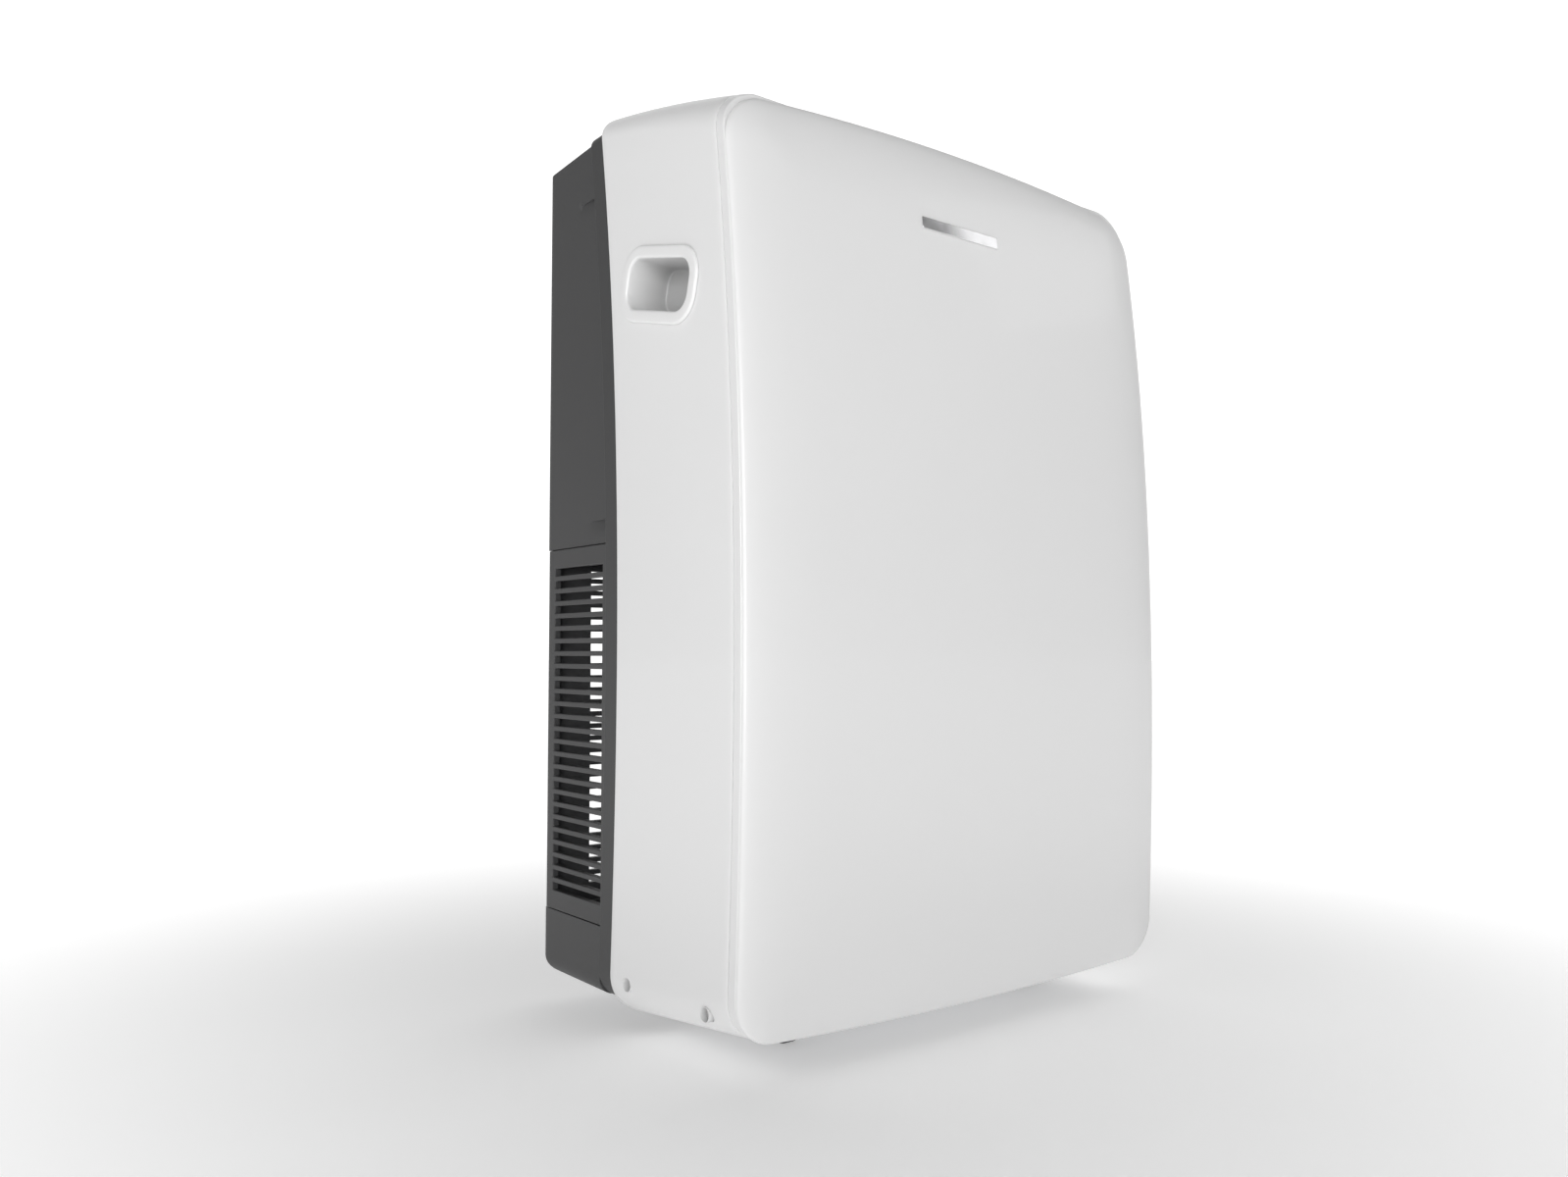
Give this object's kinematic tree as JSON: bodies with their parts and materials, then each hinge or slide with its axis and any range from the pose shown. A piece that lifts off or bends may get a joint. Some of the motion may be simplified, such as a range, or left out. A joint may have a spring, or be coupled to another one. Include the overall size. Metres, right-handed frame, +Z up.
{
  "type": "dehumidifier",
  "caption": "Upright compressor dehumidifier on casters with a bowed white case, dark rear louvres, side handle pockets and a slide-out water bucket.",
  "frame": {"origin": "on the floor under the middle of the machine", "axes": "the front panel faces -Y, +X is to the right of a viewer who faces the front panel, +Y is to the rear, +Z is up"},
  "size_m": [0.3924, 0.265, 0.6156],
  "materials": {
    "white_plastic": "satin white moulded plastic",
    "dark_plastic": "dark grey moulded plastic",
    "caster_plastic": "dark moulded plastic",
    "black_gloss": "gloss black plastic",
    "clear_plastic": "clear plastic with a light blue tint",
    "chrome": "bright plated",
    "steel": "zinc plated steel",
    "copper": null,
    "fin": "bare aluminium fins",
    "black_paint": "black enamel",
    "rubber": "black rubber",
    "board": "green circuit board",
    "grey_plastic": "grey moulded plastic",
    "button_plastic": "grey push button",
    "foam": "white float plastic",
    "filter_mesh": "black woven nylon mesh"
  },
  "bodies": {
    "case": {"front_panel": "white_plastic", "front_frame": "white_plastic", "left_side_panel": "white_plastic", "right_side_panel": "white_plastic", "top_panel": "white_plastic", "left_handle_cup": "white_plastic", "right_handle_cup": "white_plastic", "rear_frame": "dark_plastic", "intake_grille": "dark_plastic", "rear_base_cover": "dark_plastic", "outlet_grille": "dark_plastic", "control_fascia": "black_gloss", "float_switch": "black_gloss", "display_window": "clear_plastic", "drain_hose": "clear_plastic", "badge_bar": "chrome", "base_pan": "steel", "compressor_bracket": "steel", "screw_left_front": "steel", "screw_left_rear": "steel", "screw_right_front": "steel", "screw_right_rear": "steel", "suction_pipe": "copper", "discharge_pipe": "copper", "evaporator": "fin", "condenser": "fin", "compressor": "black_paint", "fan_motor": "black_paint", "cord_gland": "rubber", "control_board": "board", "inner_partition": "grey_plastic", "bucket_cradle": "grey_plastic", "drip_tray": "grey_plastic", "blower_housing": "grey_plastic", "electrical_box": "grey_plastic"},
    "button_power": {"button_power": "button_plastic"},
    "button_mode": {"button_mode": "button_plastic"},
    "button_down": {"button_down": "button_plastic"},
    "button_up": {"button_up": "button_plastic"},
    "blower_wheel": {"blower_wheel": "grey_plastic"},
    "bucket": {"water_bucket": "clear_plastic", "bucket_face": "white_plastic"},
    "bucket_bail": {"bucket_bail": "dark_plastic"},
    "bucket_float": {"bucket_float": "foam"},
    "rear_cover": {"rear_upper_cover": "dark_plastic", "air_filter_frame": "dark_plastic", "air_filter_mesh": "filter_mesh"},
    "drain_cap": {"drain_cap": "rubber"},
    "caster_front_left": {"caster_fork_front_left": "caster_plastic", "caster_axle_front_left": "steel"},
    "wheel_front_left": {"caster_wheel_front_left": "rubber"},
    "caster_front_right": {"caster_fork_front_right": "caster_plastic", "caster_axle_front_right": "steel"},
    "wheel_front_right": {"caster_wheel_front_right": "rubber"},
    "caster_rear_left": {"caster_fork_rear_left": "caster_plastic", "caster_axle_rear_left": "steel"},
    "wheel_rear_left": {"caster_wheel_rear_left": "rubber"},
    "caster_rear_right": {"caster_fork_rear_right": "caster_plastic", "caster_axle_rear_right": "steel"},
    "wheel_rear_right": {"caster_wheel_rear_right": "rubber"}
  },
  "joints": [
    {"name": "power_press", "type": "slide", "parent": "case", "child": "button_power", "axis": [0, 0.2296, -0.9733], "range_m": [0, 0.001], "stiffness_N_per_m": 400},
    {"name": "mode_press", "type": "slide", "parent": "case", "child": "button_mode", "axis": [0, 0.2296, -0.9733], "range_m": [0, 0.001], "stiffness_N_per_m": 400},
    {"name": "down_press", "type": "slide", "parent": "case", "child": "button_down", "axis": [0, 0.2296, -0.9733], "range_m": [0, 0.001], "stiffness_N_per_m": 400},
    {"name": "up_press", "type": "slide", "parent": "case", "child": "button_up", "axis": [0, 0.2296, -0.9733], "range_m": [0, 0.001], "stiffness_N_per_m": 400},
    {"name": "blower_spin", "type": "hinge", "parent": "case", "child": "blower_wheel", "pos_m": [-0.01, -0.0115, 0.447], "axis": [0, 1, 0], "continuous": true},
    {"name": "bucket_slide", "type": "slide", "parent": "case", "child": "bucket", "axis": [1, 0, 0], "range_m": [0, 0.215]},
    {"name": "bail_lift", "type": "hinge", "parent": "bucket", "child": "bucket_bail", "pos_m": [0.076, -0.0535, 0.278], "axis": [-1, 0, 0], "range_deg": [0, 90]},
    {"name": "float_swing", "type": "hinge", "parent": "bucket", "child": "bucket_float", "pos_m": [-0.008, -0.0535, 0.242], "axis": [0, -1, 0], "range_deg": [0, 18]},
    {"name": "rear_cover_pull", "type": "slide", "parent": "case", "child": "rear_cover", "axis": [0, 1, 0], "range_m": [0, 0.06]},
    {"name": "drain_cap_pull", "type": "slide", "parent": "case", "child": "drain_cap", "axis": [0, 1, 0], "range_m": [0, 0.012]},
    {"name": "swivel_front_left", "type": "hinge", "parent": "case", "child": "caster_front_left", "pos_m": [-0.112, -0.0665, 0.03], "axis": [0, 0, 1], "continuous": true},
    {"name": "roll_front_left", "type": "hinge", "parent": "caster_front_left", "child": "wheel_front_left", "pos_m": [-0.112, -0.0605, 0.012], "axis": [1, 0, 0], "continuous": true},
    {"name": "swivel_front_right", "type": "hinge", "parent": "case", "child": "caster_front_right", "pos_m": [0.112, -0.0665, 0.03], "axis": [0, 0, 1], "continuous": true},
    {"name": "roll_front_right", "type": "hinge", "parent": "caster_front_right", "child": "wheel_front_right", "pos_m": [0.112, -0.0605, 0.012], "axis": [1, 0, 0], "continuous": true},
    {"name": "swivel_rear_left", "type": "hinge", "parent": "case", "child": "caster_rear_left", "pos_m": [-0.112, 0.0895, 0.03], "axis": [0, 0, 1], "continuous": true},
    {"name": "roll_rear_left", "type": "hinge", "parent": "caster_rear_left", "child": "wheel_rear_left", "pos_m": [-0.112, 0.0955, 0.012], "axis": [1, 0, 0], "continuous": true},
    {"name": "swivel_rear_right", "type": "hinge", "parent": "case", "child": "caster_rear_right", "pos_m": [0.112, 0.0895, 0.03], "axis": [0, 0, 1], "continuous": true},
    {"name": "roll_rear_right", "type": "hinge", "parent": "caster_rear_right", "child": "wheel_rear_right", "pos_m": [0.112, 0.0955, 0.012], "axis": [1, 0, 0], "continuous": true}
  ]
}
